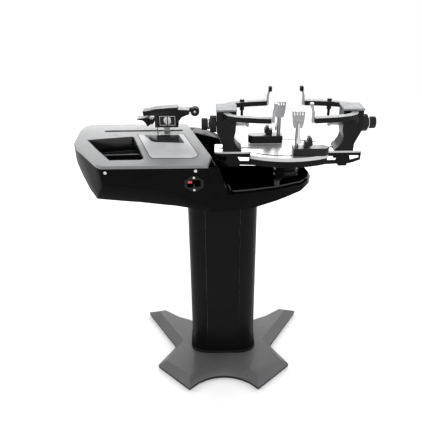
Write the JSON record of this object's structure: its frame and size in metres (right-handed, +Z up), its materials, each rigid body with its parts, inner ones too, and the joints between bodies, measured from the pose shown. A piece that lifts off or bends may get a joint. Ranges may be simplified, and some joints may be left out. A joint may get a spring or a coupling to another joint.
{
  "type": "racket stringing machine",
  "caption": "Electric racket stringing machine on a column stand, with a sliding tension head and a turntable carrying frame supports and string clamps.",
  "frame": {"origin": "on the floor at the middle of the column, under the base mat", "axes": "+Z up, +X from the control housing to the turntable, -Y towards the operator"},
  "size_m": [0.949, 0.428, 1.012],
  "materials": {
    "rubber": "matte black rubber",
    "black_metal": "satin black paint",
    "base_grey": "grey textured paint",
    "column_black": "satin black powder coat",
    "steel": "brushed",
    "hull_black": "satin black",
    "gloss_black": "piano black",
    "black_plastic": "fine grain",
    "red_plastic": "translucent red",
    "cover_silver": "silver grey paint",
    "panel_grey": "glossy light grey film",
    "display_black": "smoked window",
    "tray_black": "satin black moulding",
    "board_green": "circuit board",
    "head_black": "black anodised",
    "chrome": "polished",
    "frame_black": "satin black paint",
    "rail_silver": "bright anodised",
    "tower_black": "black coated casting",
    "cap_silver": "silver grey paint",
    "knob_black": "ribbed black",
    "pad_silver": "satin",
    "arm_black": "black paint",
    "clamp_black": "fine grain black"
  },
  "bodies": {
    "stand": {"base_mat": "rubber", "base_plate": "black_metal", "base_cover": "base_grey", "column_gasket": "rubber", "column_core": "steel", "column_front_panel": "column_black", "column_rear_panel": "column_black", "column_left_shell": "column_black", "column_right_shell": "column_black", "hull": "hull_black", "front_panel": "gloss_black", "power_inlet": "black_plastic", "top_cover": "cover_silver", "control_panel": "panel_grey", "display_window": "display_black", "left_tray": "tray_black", "turntable_tray": "tray_black", "guide_rail": "steel", "tension_motor": "black_metal", "power_supply": "steel", "control_board": "board_green", "spindle_housing": "black_metal"},
    "rocker": {"rocker_switch": "red_plastic"},
    "brake": {"brake_lever": "steel"},
    "tension_carriage": {"carriage": "steel", "tension_head": "head_black", "string_gripper": "chrome"},
    "drive_screw": {"lead_screw": "steel"},
    "roller": {"guide_roller": "head_black"},
    "tongue": {"tongue_lever": "head_black"},
    "turntable": {"turntable_frame": "frame_black", "rail_plate": "rail_silver", "front_track": "rail_silver", "back_track": "rail_silver"},
    "left_support": {"left_tower": "tower_black", "left_tower_cap": "cap_silver"},
    "left_big_knob": {"left_arm_knob": "knob_black"},
    "left_small_knob": {"left_pad_knob": "knob_black"},
    "left_pad": {"left_inner_pad": "pad_silver"},
    "left_front_arm_body": {"left_front_arm": "arm_black", "left_front_bracket": "chrome"},
    "left_back_arm_body": {"left_back_arm": "arm_black", "left_back_bracket": "chrome"},
    "right_support": {"right_tower": "tower_black", "right_tower_cap": "cap_silver"},
    "right_big_knob": {"right_arm_knob": "knob_black"},
    "right_small_knob": {"right_pad_knob": "knob_black"},
    "right_pad": {"right_inner_pad": "pad_silver"},
    "right_front_arm_body": {"right_front_arm": "arm_black", "right_front_bracket": "chrome"},
    "right_back_arm_body": {"right_back_arm": "arm_black", "right_back_bracket": "chrome"},
    "front_clamp": {"front_clamp_base": "clamp_black", "front_clamp_head": "chrome"},
    "front_lever": {"front_clamp_lever": "chrome"},
    "front_lock": {"front_lock_lever": "clamp_black"},
    "back_clamp": {"back_clamp_base": "clamp_black", "back_clamp_head": "chrome"},
    "back_lever": {"back_clamp_lever": "chrome"},
    "back_lock": {"back_lock_lever": "clamp_black"}
  },
  "joints": [
    {"name": "rocker_tilt", "type": "hinge", "parent": "stand", "child": "rocker", "pos_m": [-0.099, -0.153, 0.783], "axis": [1, 0, 0], "range_deg": [0, 12]},
    {"name": "brake_turn", "type": "hinge", "parent": "stand", "child": "brake", "pos_m": [0.205, -0.02, 0.766], "axis": [0, 0, 1], "range_deg": [-20, 20]},
    {"name": "carriage_slide", "type": "slide", "parent": "stand", "child": "tension_carriage", "axis": [1, 0, 0], "range_m": [-0.17, 0.008]},
    {"name": "screw_turn", "type": "hinge", "parent": "stand", "child": "drive_screw", "pos_m": [-0.27, 0.086, 0.776], "axis": [1, 0, 0], "continuous": true},
    {"name": "roller_turn", "type": "hinge", "parent": "tension_carriage", "child": "roller", "pos_m": [-0.087, 0.076, 0.935], "axis": [0, 1, 0], "continuous": true},
    {"name": "tongue_tilt", "type": "hinge", "parent": "tension_carriage", "child": "tongue", "pos_m": [-0.23, 0.076, 0.9045], "axis": [0, 1, 0], "range_deg": [-14, 0]},
    {"name": "turntable_turn", "type": "hinge", "parent": "stand", "child": "turntable", "pos_m": [0.205, -0.02, 0.8], "axis": [0, 0, 1], "continuous": true},
    {"name": "left_support_slide", "type": "slide", "parent": "turntable", "child": "left_support", "axis": [1, 0, 0], "range_m": [-0.004, 0.03]},
    {"name": "left_big_knob_turn", "type": "hinge", "parent": "left_support", "child": "left_big_knob", "pos_m": [-0.028, -0.02, 0.922], "axis": [1, 0, 0], "range_deg": [-180, 68]},
    {"name": "left_small_knob_turn", "type": "hinge", "parent": "left_support", "child": "left_small_knob", "pos_m": [-0.045, -0.02, 0.922], "axis": [1, 0, 0], "range_deg": [0, 360]},
    {"name": "left_pad_slide", "type": "slide", "parent": "left_support", "child": "left_pad", "axis": [1, 0, 0], "range_m": [0, 0.0081]},
    {"name": "left_front_arm_turn", "type": "hinge", "parent": "left_support", "child": "left_front_arm_body", "pos_m": [0.013, -0.063, 0.96], "axis": [0, 0, 1], "range_deg": [-9.1, 3.5]},
    {"name": "left_back_arm_turn", "type": "hinge", "parent": "left_support", "child": "left_back_arm_body", "pos_m": [0.013, 0.023, 0.96], "axis": [0, 0, 1], "range_deg": [-3.5, 9.1]},
    {"name": "right_support_slide", "type": "slide", "parent": "turntable", "child": "right_support", "axis": [1, 0, 0], "range_m": [-0.03, 0.004]},
    {"name": "right_big_knob_turn", "type": "hinge", "parent": "right_support", "child": "right_big_knob", "pos_m": [0.438, -0.02, 0.922], "axis": [1, 0, 0], "range_deg": [-180, 68]},
    {"name": "right_small_knob_turn", "type": "hinge", "parent": "right_support", "child": "right_small_knob", "pos_m": [0.455, -0.02, 0.922], "axis": [1, 0, 0], "range_deg": [0, 360]},
    {"name": "right_pad_slide", "type": "slide", "parent": "right_support", "child": "right_pad", "axis": [1, 0, 0], "range_m": [-0.0081, 0]},
    {"name": "right_front_arm_turn", "type": "hinge", "parent": "right_support", "child": "right_front_arm_body", "pos_m": [0.397, -0.063, 0.96], "axis": [0, 0, 1], "range_deg": [-3.5, 9.1]},
    {"name": "right_back_arm_turn", "type": "hinge", "parent": "right_support", "child": "right_back_arm_body", "pos_m": [0.397, 0.023, 0.96], "axis": [0, 0, 1], "range_deg": [-9.1, 3.5]},
    {"name": "front_clamp_track", "type": "hinge", "parent": "turntable", "child": "front_clamp", "pos_m": [0.205, 0.144, 0.85], "axis": [0, 0, 1], "range_deg": [-14, 2]},
    {"name": "front_lever_lift", "type": "hinge", "parent": "front_clamp", "child": "front_lever", "pos_m": [0.2275, -0.08525, 0.94], "axis": [1, 0, 0], "range_deg": [-75, 0]},
    {"name": "front_lock_tilt", "type": "hinge", "parent": "front_clamp", "child": "front_lock", "pos_m": [0.261, -0.078, 0.8745], "axis": [0, 1, 0], "range_deg": [0, 35]},
    {"name": "back_clamp_track", "type": "hinge", "parent": "turntable", "child": "back_clamp", "pos_m": [0.205, -0.184, 0.85], "axis": [0, 0, 1], "range_deg": [-14, 2]},
    {"name": "back_lever_lift", "type": "hinge", "parent": "back_clamp", "child": "back_lever", "pos_m": [0.1825, 0.04525, 0.94], "axis": [1, 0, 0], "range_deg": [0, 75]},
    {"name": "back_lock_tilt", "type": "hinge", "parent": "back_clamp", "child": "back_lock", "pos_m": [0.149, 0.038, 0.8745], "axis": [0, 1, 0], "range_deg": [-35, 0]}
  ],
  "couplings": [
    {"joint": "screw_turn", "follows": "carriage_slide", "rad_per_m": 628.32},
    {"joint": "left_pad_slide", "follows": "left_small_knob_turn", "m_per_rad": 0.0012732},
    {"joint": "left_front_arm_turn", "follows": "left_big_knob_turn", "ratio": 0.05},
    {"joint": "left_back_arm_turn", "follows": "left_big_knob_turn", "ratio": -0.05},
    {"joint": "right_pad_slide", "follows": "right_small_knob_turn", "m_per_rad": -0.0012732},
    {"joint": "right_front_arm_turn", "follows": "right_big_knob_turn", "ratio": -0.05},
    {"joint": "right_back_arm_turn", "follows": "right_big_knob_turn", "ratio": 0.05}
  ]
}
